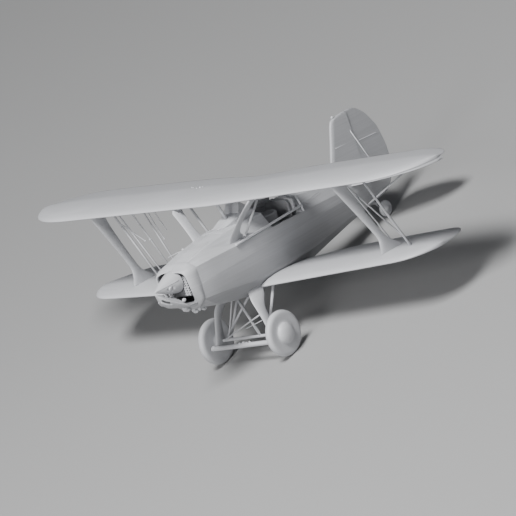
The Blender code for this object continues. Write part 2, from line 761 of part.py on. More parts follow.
def build():
    clear_scene()
    front, _ = parked(SPINNER_BASE_Y - SPINNER_LENGTH, SPINNER_Z)
    rear, _ = parked(*RUDDER_REAR)
    _, wheel_height = parked(WHEEL_Y, WHEEL_Z)
    stand = add_empty("stand", None, (0.0, -0.5 * (front + rear), WHEEL_R - wheel_height),
                      (-stance_angle(), 0.0, 0.0))
    body_grown = build_body(stand)
    upper, lower = build_wings(stand, body_grown)
    build_struts(stand, body_grown, upper, lower)
    build_tail(stand, body_grown)
    build_moving(stand, body_grown)


build()
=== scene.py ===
import json
import math

import bmesh
import bpy
from mathutils import Matrix, Vector
from mathutils.bvhtree import BVHTree
from mathutils.geometry import intersect_point_line


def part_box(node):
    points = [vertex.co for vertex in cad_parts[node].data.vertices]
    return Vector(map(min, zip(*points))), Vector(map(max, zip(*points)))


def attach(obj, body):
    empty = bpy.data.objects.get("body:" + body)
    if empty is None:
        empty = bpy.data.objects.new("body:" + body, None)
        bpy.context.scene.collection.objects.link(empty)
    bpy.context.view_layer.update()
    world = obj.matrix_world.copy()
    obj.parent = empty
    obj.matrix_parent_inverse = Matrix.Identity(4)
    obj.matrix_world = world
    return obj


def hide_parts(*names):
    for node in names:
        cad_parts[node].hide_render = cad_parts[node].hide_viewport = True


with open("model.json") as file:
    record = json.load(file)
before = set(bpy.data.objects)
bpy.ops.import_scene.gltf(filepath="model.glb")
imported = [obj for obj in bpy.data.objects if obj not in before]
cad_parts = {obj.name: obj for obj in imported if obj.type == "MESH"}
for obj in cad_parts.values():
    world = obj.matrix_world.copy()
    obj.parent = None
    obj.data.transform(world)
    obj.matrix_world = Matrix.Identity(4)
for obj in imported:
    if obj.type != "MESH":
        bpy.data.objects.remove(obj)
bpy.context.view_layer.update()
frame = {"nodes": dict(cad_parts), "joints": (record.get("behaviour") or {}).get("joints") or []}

# The view.  The model is seen from its left front and from above, through a
# long lens.  It stands on its wheels here, so the camera is rolled to give
# the lean that the picture shows.
PICTURE_PIXELS = 516
SENSOR_MM = 36.0
PIXELS_PER_METRE = 2669.0     # at the model, along the picture
VIEW_DISTANCE = 7.493
VIEW_AZIMUTH = 49.26          # degrees from straight ahead towards the model's left
VIEW_ELEVATION = 21.28
VIEW_ROLL = 30.12
AXLE_PIXEL = (249.6, 337.2)   # where the middle of the axle lies in the picture


def middle(node):
    low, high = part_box(node)
    return 0.5 * (low + high)


def view_axes(azimuth, elevation, roll):
    """Right, up and back directions of the camera."""
    turn = Matrix.Rotation(math.radians(azimuth), 3, "Z")
    tilt = Matrix.Rotation(math.radians(90.0 - elevation), 3, "X")
    lean = Matrix.Rotation(math.radians(-roll), 3, "Z")
    return turn @ tilt @ lean


axes = view_axes(VIEW_AZIMUTH, VIEW_ELEVATION, VIEW_ROLL)
right, up, back = axes.col
half = 0.5 * PICTURE_PIXELS
aim = (middle("axle") + right * (half - AXLE_PIXEL[0]) / PIXELS_PER_METRE
       + up * (AXLE_PIXEL[1] - half) / PIXELS_PER_METRE)
lens = bpy.data.cameras.new("camera")
lens.sensor_width = SENSOR_MM
lens.lens = SENSOR_MM * VIEW_DISTANCE * PIXELS_PER_METRE / PICTURE_PIXELS
lens.clip_end = 3.0 * VIEW_DISTANCE
camera = bpy.data.objects.new("camera", lens)
camera.matrix_world = Matrix.Translation(aim + back * VIEW_DISTANCE) @ axes.to_4x4()
bpy.context.scene.collection.objects.link(camera)
bpy.context.scene.camera = camera

# The table.  A plain pale floor that the wheels stand on, and soft lamps: a key
# high up ahead and to the left, a lower fill ahead of the nose, and a weak one
# behind the tail.
FLOOR_HALF = 3.0
FLOOR_TONE = 0.31
FLOOR_CLOUDS = 0.02           # how much the tone drifts over the floor
FLOOR_CLOUD_SCALE = 2.0
FLOOR_ROUGHNESS = 0.8
SKY_TINT = (0.86, 0.9, 1.0, 1.0)
SKY_STRENGTH = 0.085


class Wire:
    """A socket of a material, so that sums on it can be written out plainly."""

    def __init__(self, tree, socket):
        self.tree = tree
        self.socket = socket

    def node(self, kind, settings=None, out=0, **inputs):
        """Any other node: settings first, then the values or links of its sockets."""
        made = self.tree.nodes.new(kind)
        for name, value in (settings or {}).items():
            setattr(made, name, value)
        for name, value in inputs.items():
            numbered = name[0] == "s" and name[1:].isdigit()
            index = int(name[1:]) if numbered else name.replace("_", " ")
            if isinstance(value, Wire):
                self.tree.links.new(value.socket, made.inputs[index])
            else:
                made.inputs[index].default_value = value
        return Wire(self.tree, made.outputs[out])

    def math(self, operation, first, second=0.0):
        return self.node("ShaderNodeMath", {"operation": operation}, s0=first, s1=second)

    def __add__(self, other):
        return self.math("ADD", self, other)

    __radd__ = __add__

    def __sub__(self, other):
        return self.math("SUBTRACT", self, other)

    def __rsub__(self, other):
        return self.math("SUBTRACT", other, self)

    def __mul__(self, other):
        return self.math("MULTIPLY", self, other)

    __rmul__ = __mul__

    def clamp(self):
        return self.node("ShaderNodeMath", {"operation": "ADD", "use_clamp": True},
                         s0=self, s1=0.0)

    def tinted(self, colour):
        """The colour times this value."""
        return self.node("ShaderNodeVectorMath", {"operation": "SCALE"},
                         s0=colour, Scale=self)

    def feed(self, shader, name):
        self.tree.links.new(self.socket, shader.inputs[name])


def new_finish(name):
    """A material, its Principled shader, and a Wire on the object coordinates."""
    made = bpy.data.materials.new(name)
    made.use_nodes = True
    tree = made.node_tree
    shader = tree.nodes["Principled BSDF"]
    place = tree.nodes.new("ShaderNodeTexCoord").outputs["Object"]
    return made, shader, Wire(tree, place)


def table_finish():
    made, shader, place = new_finish("pale_floor")
    shade = place.node("ShaderNodeTexNoise", Vector=place, Scale=FLOOR_CLOUD_SCALE, Detail=3.0)
    tone = FLOOR_CLOUDS * shade + FLOOR_TONE
    tone.tinted((1.0, 1.0, 1.0)).feed(shader, "Base Color")
    shader.inputs["Roughness"].default_value = FLOOR_ROUGHNESS
    return made


plane = bpy.data.meshes.new("floor")
plane.from_pydata([(-FLOOR_HALF, -FLOOR_HALF, 0.0), (FLOOR_HALF, -FLOOR_HALF, 0.0),
                   (FLOOR_HALF, FLOOR_HALF, 0.0), (-FLOOR_HALF, FLOOR_HALF, 0.0)],
                  [], [(0, 1, 2, 3)])
floor = bpy.data.objects.new("floor", plane)
plane.materials.append(table_finish())
bpy.context.scene.collection.objects.link(floor)

LAMPS = (                     # name, place, size, watts
    ("key_lamp", (0.24, -0.45, 1.09), 0.36, 22.0),
    ("front_fill", (0.22, -1.04, 0.55), 0.4, 7.5),
    ("rear_fill", (-0.3, 1.0, 0.8), 0.9, 0.3),
)
for name, place, size, watts in LAMPS:
    lamp = bpy.data.lights.new(name, "AREA")
    lamp.size = size
    lamp.energy = watts
    holder = bpy.data.objects.new(name, lamp)
    holder.location = place
    holder.rotation_euler = (-Vector(place)).to_track_quat("-Z", "Y").to_euler()
    bpy.context.scene.collection.objects.link(holder)
world = bpy.data.worlds.new("studio")
world.use_nodes = True
sky = world.node_tree.nodes["Background"]
sky.inputs["Color"].default_value = SKY_TINT
sky.inputs["Strength"].default_value = SKY_STRENGTH
bpy.context.scene.world = world

# The fuselage.  One printed shell with flat facets, a cowl whose lip is rolled
# in at the front, and an open cockpit.  All pieces of the model are printed in
# the same light grey resin, whose layers lie almost level in the rigging frame.
MM = 0.001
AXLE_IN_RIG = (0.0, -5.6, -21.3)      # millimetres: X left, Y aft, Z up along the body
MERGE = 2e-6                          # metres
SLIVER = 0.005                        # millimetres
COPLANAR_DEG = 12.0                   # triangles that turn less are joined into one face
SQUARE_DEG = 70.0
ROUNDED_FROM_DEG = 30.0               # edges that turn more are rounded
LAYER_PITCH = 0.12
LAYER_TILT = 0.04                     # the layers drop this much along the body
RESIN = (0.985, 0.995, 1.03)
STREAK_STRETCH = (0.05, 0.03, 1.6)    # steps of the streaks a millimetre: across, along, up
CLOUD_SCALE = 55.0                    # a metre
GRAIN_SCALE = 3200.0
CLOUD_SHARE = 0.07                    # how much each changes the tone
GRAIN_SHARE = 0.08
GLOSS = (0.36, 0.14, 0.10)            # least roughness; what grain and clouds add to it
BUMP_HEIGHT = 0.00006                 # metres
LINE_BUMP = 0.35                      # layer lines and streaks in the bump, beside the grain
STREAK_BUMP = 1.2

spin = next(joint for joint in frame["joints"] if joint["name"] == "propeller_spin")
aft = -Vector(spin["axis"]).normalized()
left = Vector((1.0, 0.0, 0.0))
upward = left.cross(aft)
turned_rig = Matrix((left, aft, upward)).transposed().to_4x4()
RIG = (Matrix.Translation(middle("axle")) @ turned_rig @ Matrix.Scale(MM, 4)
       @ Matrix.Translation(-Vector(AXLE_IN_RIG)))
UNRIG = RIG.inverted()


def level(place, axis):
    """Distance in millimetres along a direction of the rigging frame."""
    row = UNRIG.to_3x3().transposed() @ Vector(axis)
    offset = UNRIG.translation.dot(Vector(axis))
    return place.node("ShaderNodeVectorMath", {"operation": "DOT_PRODUCT"}, out="Value",
                      s0=place, s1=tuple(row)) + offset


def resin(name, tone, relief=0.10, streaks=0.07, painted_shade=None):
    """Grey printing resin: layer lines, faint streaks along them, dust and grain.

    The last argument is (axis, level in millimetres, depth, darkness): painted shade
    that darkens the tone beyond that level.
    """
    made, shader, place = new_finish(name)
    height = level(place, (0.0, LAYER_TILT, 1.0))
    across = level(place, (1.0, 0.0, 0.0))
    along = level(place, (0.0, 1.0, 0.0))
    drawn_out = place.node("ShaderNodeCombineXYZ", X=across * STREAK_STRETCH[0],
                           Y=along * STREAK_STRETCH[1], Z=height * STREAK_STRETCH[2])
    streak = place.node("ShaderNodeTexNoise", Vector=drawn_out, Scale=1.0, Detail=5.0,
                        Roughness=0.6)
    cloud = place.node("ShaderNodeTexNoise", Vector=place, Scale=CLOUD_SCALE, Detail=4.0)
    grain = place.node("ShaderNodeTexNoise", Vector=place, Scale=GRAIN_SCALE, Detail=2.0)
    lines = place.math("SINE", height * (2.0 * math.pi / LAYER_PITCH))
    share = (streaks * (streak - 0.5) * 2.0 + CLOUD_SHARE * (cloud - 0.5)
             + GRAIN_SHARE * (grain - 0.5))
    share = (share + 1.0) * tone
    # Painted shade: the tone darkens beyond a level along an axis.
    if painted_shade:
        axis, start, depth, darkness = painted_shade
        shade_mask = ((level(place, axis) - start) * (1.0 / depth)).clamp()
        share = share * (1.0 - darkness * shade_mask)
    share.tinted(RESIN).feed(shader, "Base Color")
    (GLOSS[1] * grain + GLOSS[2] * cloud + GLOSS[0]).feed(shader, "Roughness")
    rough_face = LINE_BUMP * lines + STREAK_BUMP * streak + grain
    bump = place.node("ShaderNodeBump", Strength=relief, Distance=BUMP_HEIGHT,
                      Height=rough_face)
    bump.feed(shader, "Normal")
    return made


def merged(node):
    """The node's shape in millimetres of the rigging frame, its triangles joined up."""
    shape = bmesh.new()
    shape.from_mesh(frame["nodes"][node].data)
    bmesh.ops.remove_doubles(shape, verts=shape.verts, dist=MERGE)
    shape.transform(UNRIG)
    bmesh.ops.dissolve_degenerate(shape, edges=shape.edges, dist=SLIVER)
    bmesh.ops.join_triangles(shape, faces=shape.faces,
                             angle_face_threshold=math.radians(COPLANAR_DEG),
                             angle_shape_threshold=math.radians(SQUARE_DEG))
    return shape


def edge_turn(edge):
    return math.degrees(edge.calc_face_angle(0.0))


def dressed(name, shape, body, finishes, nodes=(), round_mm=0.0, weights=None, steps=2,
            subdivide=0, sharp=35.0, crease=None, slots=None):
    """Finish a shape drawn in the rigging frame and hang it on its body.

    weights(edge) gives each edge its share of round_mm; crease is the angle from
    which an edge stays sharp when the shape is subdivided, and sharp the one from
    which it is shaded sharp when nothing is rounded; slots(face) picks the finish
    of a face.
    """
    if weights:
        share = shape.edges.layers.float.new("bevel_weight_edge")
        for edge in shape.edges:
            edge[share] = weights(edge)
    if crease is not None:
        hold = shape.edges.layers.float.new("crease_edge")
        for edge in shape.edges:
            edge[hold] = 1.0 if edge_turn(edge) > crease else 0.0
    if slots:
        for face in shape.faces:
            face.material_index = slots(face)
    shape.transform(RIG)
    mesh = bpy.data.meshes.new(name)
    shape.to_mesh(mesh)
    shape.free()
    for finish in finishes:
        mesh.materials.append(finish)
    piece = bpy.data.objects.new(name, mesh)
    bpy.context.scene.collection.objects.link(piece)
    if subdivide:
        finer = piece.modifiers.new("finer", "SUBSURF")
        finer.levels = subdivide
        finer.render_levels = subdivide
    if round_mm:
        rounding = piece.modifiers.new("rounding", "BEVEL")
        rounding.width = round_mm * MM
        rounding.segments = steps
        rounding.limit_method = "WEIGHT" if weights else "ANGLE"
        rounding.angle_limit = math.radians(ROUNDED_FROM_DEG)
        rounding.use_clamp_overlap = True
    mesh.shade_smooth()
    if round_mm:
        flats = piece.modifiers.new("flats", "WEIGHTED_NORMAL")
        flats.keep_sharp = True
    baked = bpy.data.meshes.new_from_object(
        piece.evaluated_get(bpy.context.evaluated_depsgraph_get()))
    baked.name = name
    piece.modifiers.clear()
    piece.data = baked
    if not round_mm:
        baked.set_sharp_from_angle(angle=math.radians(sharp))
    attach(piece, body)
    if nodes:
        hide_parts(*nodes)
    return piece


# The body's finish darkens from 8 mm above the rigging plane downwards: painted shade on the low
# sides and belly.
body_resin = resin("body_resin", 0.52, relief=0.16, streaks=0.18,
                   painted_shade=((0.0, 0.0, -1.0), -8.0, 8.0, 0.32))
# Darker finishes for the cockpit's well and the cavity behind the cowl's mouth: painted shade in
# these recesses.
well_shade_resin = resin("cockpit_well_resin", 0.24)
cavity_shade_resin = resin("cowl_cavity_resin", 0.07)

BAND_REAR_Y = -28.8                   # where the rolled band of the lip begins
MOUTH_WALL_Y = (-26.0, -24.8)         # between these stands the wall behind the mouth
MOUTH_FLOOR_Z = 8.0
WELL_Y = (14.6, 33.4)                 # the well of the cockpit lies between these
SILL_Z = 13.2
FACET_DEG = 3.5                       # edges that turn less aren't rounded
CORNER_DEG = 12.0                     # long edges that turn more are rounded fully
CUT_DEG = 25.0                        # cross edges that turn less aren't rounded


def shell_weights(edge):
    """Share of the rounding: most on the long edges, little on the cut ones."""
    turn = edge_turn(edge)
    a, b = (vert.co for vert in edge.verts)
    if turn < FACET_DEG or max(a.y, b.y) < BAND_REAR_Y + 0.1:
        return 0.0
    if abs((b - a).normalized().y) > 0.8:
        return 1.0 if turn > CORNER_DEG else 0.4
    return 0.6 if turn > CUT_DEG else 0.0


def shell_slots(face):
    """Outside, the well of the cockpit, or the cavity behind the cowl's mouth; the last two are
    darker as painted shade.
    """
    centre = face.calc_center_median()
    inward = centre.x * face.normal.x < 0.0 and abs(face.normal.x) > 0.3
    on_wall = abs(face.normal.y) > 0.9 and centre.y > MOUTH_WALL_Y[0]
    on_mouth_floor = centre.z < MOUTH_FLOOR_Z and face.normal.z > 0.5
    if centre.y < MOUTH_WALL_Y[1] and (inward or on_wall or on_mouth_floor):
        return 2
    in_well = WELL_Y[0] < centre.y < WELL_Y[1] and centre.z < SILL_Z
    if in_well and (inward or face.normal.z > 0.9):
        return 1
    return 0


def cut_back(shape, plane_y):
    """Take away what lies ahead of a plane, and close the rim that this leaves."""
    bmesh.ops.bisect_plane(shape, geom=shape.verts[:] + shape.edges[:] + shape.faces[:],
                           dist=0.001, plane_co=(0.0, plane_y, 0.0), plane_no=(0.0, -1.0, 0.0),
                           clear_outer=True)
    rim = [edge for edge in shape.edges if edge.is_boundary]
    bmesh.ops.bridge_loops(shape, edges=rim)
    bmesh.ops.recalc_face_normals(shape, faces=shape.faces)
    return shape


dressed("fuselage_shell", cut_back(merged("fuselage"), BAND_REAR_Y), "airframe",
        (body_resin, well_shade_resin, cavity_shade_resin), ("fuselage",), round_mm=0.26,
        weights=shell_weights, steps=3, slots=shell_slots)

# The cowl's lip.  A band rolled over at the front, whose section changes from the
# facets of the body to a rounder ring, and whose inner side leads into the mouth.
# Its top is a thin brow, a little shorter on the right than on the left.
LIP_LEFT = (                   # front edge x, y, z; then x, z at the shoulder and at the joint
    (0.0, -32.7, 16.3, 0.0, 18.0, 0.0, 18.23), (1.5, -34.4, 15.9, 1.5, 17.87, 1.5, 18.09),
    (5.0, -34.5, 15.8, 5.6, 17.5, 5.68, 17.7), (8.4, -34.5, 15.2, 9.2, 15.5, 9.28, 15.49),
    (8.4, -33.9, 8.4, 9.2, 8.8, 9.3, 8.82), (6.6, -31.6, 2.8, 8.6, 3.0, 8.67, 2.86),
    (3.0, -30.4, 1.6, 4.4, -0.2, 4.52, -0.52))
LIP_RIGHT = ((1.5, -33.0, 16.1), (5.0, -33.8, 15.8)) + tuple(row[:3] for row in LIP_LEFT[3:])
SHOULDER_Y = -30.0
SECTION_MIDDLE_Z = 8.6
SIDE_STEPS = 6
BAND_ROWS = (                  # share of the way forward, offset outward, rounding passes
    (0.0, 0.0, 0), (0.10, 0.10, 1), (0.24, 0.24, 2), (0.40, 0.38, 4), (0.56, 0.46, 6),
    (0.70, 0.42, 8), (0.82, 0.28, 10), (0.91, 0.06, 10), (0.97, -0.18, 10), (1.0, -0.45, 10),
    (0.985, -0.68, 10), (0.93, -0.84, 10), (0.75, -0.92, 8), (0.4, -0.95, 4), (0.0, -0.95, 0))
FIRST_INNER_ROW = 11
ROUND_BELOW_Z = 12.0           # the whole section is rounded below this
BROW_HALF = 4.5                # half width of the thin brow
BROW_FADE = 3.0                # over which its thinness fades beside it
BROW_SWELL = 0.05              # share of the band's swelling, and of its thickness, on the brow
BROW_THINNESS = 0.55


def band_corner(front, rear, share):
    """A corner of the band's section: from the joint (share 0) to the front edge (1)."""
    x0, y0, z0 = front
    x1, z1, x2, z2 = rear
    y = BAND_REAR_Y + share * (y0 - BAND_REAR_Y)
    if y > SHOULDER_Y:
        part = (BAND_REAR_Y - y) / (BAND_REAR_Y - SHOULDER_Y)
        return Vector((x2 + part * (x1 - x2), y, z2 + part * (z1 - z2)))
    part = (SHOULDER_Y - y) / (SHOULDER_Y - y0)
    return Vector((x1 + part * (x0 - x1), y, z1 + part * (z0 - z1)))


def band_row(share, offset, passes):
    """One closed ring of the band: its sides divided, its corners rounded, then moved out."""
    ring = [band_corner(row[:3], row[3:], share) for row in LIP_LEFT]
    for front, row in reversed(list(zip(LIP_RIGHT, LIP_LEFT[1:]))):
        point = band_corner(front, row[3:], share)
        ring.append(Vector((-point.x, point.y, point.z)))
    plain = []
    for here, there in zip(ring, ring[1:] + ring[:1]):
        plain += [here.lerp(there, i / SIDE_STEPS) for i in range(SIDE_STEPS)]
    count = len(plain)
    soft = plain
    for _ in range(passes):
        soft = [0.5 * soft[i] + 0.25 * (soft[i - 1] + soft[(i + 1) % count])
                for i in range(count)]
    rounding = [1.0 if point.z < ROUND_BELOW_Z
                else min(1.0, max(0.0, (abs(point.x) - BROW_HALF) / BROW_FADE))
                for point in plain]
    points = [a.lerp(b, part) for a, b, part in zip(plain, soft, rounding)]
    moved = []
    for i, point in enumerate(points):
        along = points[(i + 1) % count] - points[i - 1]
        out = Vector((-along.z, 0.0, along.x)).normalized()
        if out.dot(point - Vector((0.0, point.y, SECTION_MIDDLE_Z))) < 0.0:
            out = -out
        least = BROW_SWELL if offset > 0.0 else BROW_THINNESS
        moved.append(point + offset * (least + (1.0 - least) * rounding[i]) * out)
    return moved


def skinned(shape, rings, slot_of=lambda row: 0):
    """Faces between each ring of vertices and the next."""
    for i, (row, after) in enumerate(zip(rings, rings[1:])):
        for j in range(len(row)):
            k = (j + 1) % len(row)
            face = shape.faces.new((row[j], row[k], after[k], after[j]))
            face.material_index = slot_of(i)
    return shape


lip = bmesh.new()
rings = [[lip.verts.new(point) for point in band_row(*row)] for row in BAND_ROWS]
# The inner rows take the darker well finish: painted shade leading into the mouth.
skinned(lip, rings + rings[:1], lambda row: 1 if row > FIRST_INNER_ROW else 0)
bmesh.ops.recalc_face_normals(lip, faces=lip.faces)
dressed("cowl_lip", lip, "airframe", (body_resin, well_shade_resin), sharp=60.0)

# The nose.  A long chin scoop under the cowl, and a flat engine front inside it.
# The engine's fins are rows of short bars, left rough by the printer; the engine's
# finish darkens back from their front faces as painted shade between them.
# The engine's finish darkens back from the fins' front faces: painted shade.
engine_resin = resin("engine_resin", 0.50, painted_shade=((0.0, 1.0, 0.0), -32.5, 0.9, 0.55))
CHIN_ROWS = (                  # y, top z, edge half width, edge z, keel z
    (-44.6, 11.2, 0.35, 10.9, 10.3), (-43.5, 10.8, 1.2, 9.5, 7.3), (-42.3, 10.2, 2.2, 8.2, 5.8),
    (-39.6, 8.2, 3.8, 5.7, 4.2), (-35.6, 6.6, 5.9, 2.9, 2.5), (-35.4, 3.1, 6.0, 2.8, 2.3),
    (-30.0, 2.4, 6.4, 2.3, 0.2))
CHIN_FLAT = 0.6                # shares of a section: half the width of its top and keel,
CHIN_SHOULDER = 0.5            # the fall of the top towards the edge,
CHIN_TUCK = (0.9, 0.55)        # how far the side comes in and down below the edge,
CHIN_KEEL = 0.15               # and the height of the flat over the keel
chin = bmesh.new()
rings = []
for y, top, half_width, edge_z, keel in CHIN_ROWS:
    low = keel + CHIN_KEEL * (edge_z - keel)
    section = [(0.0, top),
               (CHIN_FLAT * half_width, top + CHIN_SHOULDER * (edge_z - top)),
               (half_width, edge_z),
               (CHIN_TUCK[0] * half_width, edge_z + CHIN_TUCK[1] * (low - edge_z)),
               (CHIN_FLAT * half_width, low),
               (0.0, keel)]
    section += [(-x, z) for x, z in reversed(section[1:-1])]
    rings.append([chin.verts.new((x, y, z)) for x, z in section])
skinned(chin, rings)
chin.faces.new(rings[0])
chin.faces.new(list(reversed(rings[-1])))
bmesh.ops.recalc_face_normals(chin, faces=chin.faces)
dressed("chin_scoop", chin, "airframe", (body_resin,), ("chin_cowl",), round_mm=0.3, steps=3)
dressed("engine_front", merged("engine_block"), "airframe", (engine_resin,),
        ("engine_block",), round_mm=0.3)
GROWN_SHARP_DEG = 40.0


def new_tree(name, sockets):
    """An empty Geometry Nodes tree with its inputs, and a function that adds nodes."""
    tree = bpy.data.node_groups.new(name, "GeometryNodeTree")
    tree.interface.new_socket("Geometry", in_out="INPUT", socket_type="NodeSocketGeometry")
    for label, kind in sockets:
        tree.interface.new_socket(label, in_out="INPUT", socket_type="NodeSocket" + kind)
    tree.interface.new_socket("Geometry", in_out="OUTPUT", socket_type="NodeSocketGeometry")
    entry = tree.nodes.new("NodeGroupInput")

    def add(kind, settings=None, **inputs):
        made = tree.nodes.new(kind)
        for label, value in (settings or {}).items():
            setattr(made, label, value)
        for label, value in inputs.items():
            socket = made.inputs[label.replace("_", " ")]
            if isinstance(value, bpy.types.NodeSocket):
                tree.links.new(value, socket)
            else:
                socket.default_value = value
        return made

    return tree, entry, add


def close_tree(tree, entry, add, geometry):
    """Every tree ends in real faces that carry the finish."""
    real = add("GeometryNodeRealizeInstances", Geometry=geometry)
    smooth = add("GeometryNodeSetShadeSmooth", Geometry=real.outputs[0])
    paint = add("GeometryNodeSetMaterial", Geometry=smooth.outputs[0],
                Material=entry.outputs["Finish"])
    leave = tree.nodes.new("NodeGroupOutput")
    tree.links.new(paint.outputs[0], leave.inputs[0])
    return tree


def grown(name, tree, base, body, **inputs):
    """Run a tree on a base mesh drawn in the rigging frame; keep the plain result."""
    base.transform(RIG)
    piece = bpy.data.objects.new(name, base)
    bpy.context.scene.collection.objects.link(piece)
    modifier = piece.modifiers.new(tree.name, "NODES")
    modifier.node_group = tree
    for item in tree.interface.items_tree:
        if item.in_out == "INPUT" and item.name.replace(" ", "_") in inputs:
            modifier[item.identifier] = inputs[item.name.replace(" ", "_")]
    baked = bpy.data.meshes.new_from_object(
        piece.evaluated_get(bpy.context.evaluated_depsgraph_get()))
    baked.name = name
    piece.modifiers.clear()
    piece.data = baked
    baked.set_sharp_from_angle(angle=math.radians(GROWN_SHARP_DEG))
    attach(piece, body)
    return piece


def points_mesh(name, points, edges=(), **attributes):
    mesh = bpy.data.meshes.new(name)
    mesh.from_pydata([tuple(point) for point in points], list(edges), [])
    for label, values in attributes.items():
        store = mesh.attributes.new(label, "FLOAT", "POINT")
        for i, value in enumerate(values):
            store.data[i].value = value
    return mesh


def fins_tree():
    """A slanted bar on each point of the base mesh."""
    tree, entry, add = new_tree("engine_fins", (
        ("Bar Length", "Float"), ("Bar Depth", "Float"), ("Bar Height", "Float"),
        ("Finish", "Material")))
    size = add("ShaderNodeCombineXYZ", X=entry.outputs["Bar Length"],
               Y=entry.outputs["Bar Depth"], Z=entry.outputs["Bar Height"])
    bar = add("GeometryNodeMeshCube", Size=size.outputs[0])
    slant = add("GeometryNodeInputNamedAttribute", {"data_type": "FLOAT"}, Name="slant")
    turn = add("ShaderNodeCombineXYZ", Y=slant.outputs["Attribute"])
    row = add("GeometryNodeInstanceOnPoints", Points=entry.outputs["Geometry"],
              Instance=bar.outputs["Mesh"], Rotation=turn.outputs[0])
    return close_tree(tree, entry, add, row.outputs[0])


BAR_COLUMNS_X = (3.7, 5.05)
BAR_ROWS_Z = [6.3 + 0.95 * i for i in range(8)]
BAR_STAGGER = 0.10
BAR_Y = -32.15
BAR_SLANT_DEG = 38.0
BAR_SIZE = (1.15, 1.15, 0.58)
bar_points = []
bar_slants = []
for side in (1, -1):
    for i, z in enumerate(BAR_ROWS_Z):
        for x in BAR_COLUMNS_X:
            bar_points.append((side * (x + BAR_STAGGER * (i % 2)), BAR_Y, z))
            bar_slants.append(side * math.radians(BAR_SLANT_DEG))
grown("engine_fins", fins_tree(), points_mesh("fin_rows", bar_points, slant=bar_slants),
      "airframe", Bar_Length=BAR_SIZE[0] * MM, Bar_Depth=BAR_SIZE[1] * MM,
      Bar_Height=BAR_SIZE[2] * MM, Finish=engine_resin)

# The spinner.  A pointed cone turning on the stub of the shaft, with a parting
# line on each flank and the two broken blade roots in their sockets.  The blades
# themselves are gone.  The chin scoop's mouth is drawn here too, with the same wire.
spinner_resin = resin("spinner_resin", 0.53, streaks=0.04)
SPINNER_Z = 12.0
SLIMMER = (0.85, 1.0, 0.85)
CONE_REAR_Y = -33.1
CONE_LENGTH = 11.9
CONE_RADIUS = 5.25             # before it is made slimmer
CONE_POWER = 1.35              # how the radius falls off towards the tip


def scaled(shape, centre, factors):
    """Scale a shape about a point, each direction by its own factor."""
    for vert in shape.verts:
        vert.co = Vector([c + (v - c) * f for v, c, f in zip(vert.co, centre, factors)])
    return shape


cone = scaled(merged("spinner"), (0.0, 0.0, SPINNER_Z), SLIMMER)
dressed("spinner_cone", cone, "spinner", (spinner_resin,), ("spinner",))
for word in ("left", "right"):
    stub = scaled(merged("blade_root_" + word), (0.0, 0.0, SPINNER_Z), SLIMMER)
    dressed("blade_stub_" + word, stub, "spinner", (spinner_resin,), ("blade_root_" + word,),
            round_mm=0.25, steps=3)
dressed("shaft_stub", merged("prop_shaft"), "airframe", (spinner_resin,), ("prop_shaft",))


def beads_tree():
    """Round wire along each line of the base mesh, as thick as its points say."""
    tree, entry, add = new_tree("printed_wire", (("Sides", "Int"), ("Finish", "Material")))
    line = add("GeometryNodeMeshToCurve", Mesh=entry.outputs["Geometry"])
    thick = add("GeometryNodeInputNamedAttribute", {"data_type": "FLOAT"}, Name="thick")
    ring = add("GeometryNodeCurvePrimitiveCircle", Resolution=entry.outputs["Sides"], Radius=1.0)
    wire = add("GeometryNodeCurveToMesh", Curve=line.outputs[0], Fill_Caps=True,
               Profile_Curve=ring.outputs["Curve"], Scale=thick.outputs["Attribute"])
    return close_tree(tree, entry, add, wire.outputs[0])


WIRE = beads_tree()
WIRE_END = ((0.0, 0.35), (0.3, 0.8), (1.0, 1.0))   # way from the end in radii, thickness


def wires(name, rows, body, finish, sides=10):
    """rows: (points, radius), both in millimetres of the rigging frame."""
    places, links, thick = [], [], []
    for points, radius in rows:
        path = [Vector(point) for point in points]
        first, last = path[0], path[-1]
        ahead = (path[1] - first).normalized()
        behind = (path[-2] - last).normalized()
        run = [(first + way * radius * ahead, share) for way, share in WIRE_END]
        run += [(point, 1.0) for point in path[1:-1]]
        run += [(last + way * radius * behind, share) for way, share in reversed(WIRE_END)]
        links += [(len(places) + i, len(places) + i + 1) for i in range(len(run) - 1)]
        places += [point for point, _ in run]
        thick += [share * radius * MM for _, share in run]
    return grown(name, WIRE, points_mesh(name, places, links, thick=thick), body,
                 Sides=sides, Finish=finish)


def cone_point(y, turn_deg, lift=0.0):
    """A point on the spinner's skin: distance along the nose and turn from the top."""
    share = (CONE_REAR_Y - y) / CONE_LENGTH
    radius = CONE_RADIUS * SLIMMER[0] * (1.0 - share ** CONE_POWER) + lift
    turn = math.radians(turn_deg)
    return (radius * math.sin(turn), y, SPINNER_Z + radius * math.cos(turn))


SEAM_TURNS = (79.0, 259.0)
SEAM_YS = (-34.6, -36.2, -38.0, -40.0, -42.0, -44.2)
seams = [([cone_point(y, turn, -0.04) for y in SEAM_YS], 0.22) for turn in SEAM_TURNS]
wires("spinner_seams", seams, "spinner", spinner_resin, sides=8)
mouth_line = ((1.0, -43.5, 8.4), (1.8, -42.3, 7.2), (2.5, -41.0, 6.3))
mouth_lip = ((0.65, -43.6, 7.75), (1.35, -42.4, 6.45), (2.05, -41.1, 5.6), (2.7, -40.1, 5.3))
# The mouth's line takes the near-black cavity finish: painted shade in the scoop's opening.
for name, line, radius, finish in (("chin_mouth", mouth_line, 0.38, cavity_shade_resin),
                                   ("chin_mouth_lip", mouth_lip, 0.33, spinner_resin)):
    wires(name, [([(side * x, y, z) for x, y, z in line], radius) for side in (1, -1)],
          "airframe", finish, sides=8)
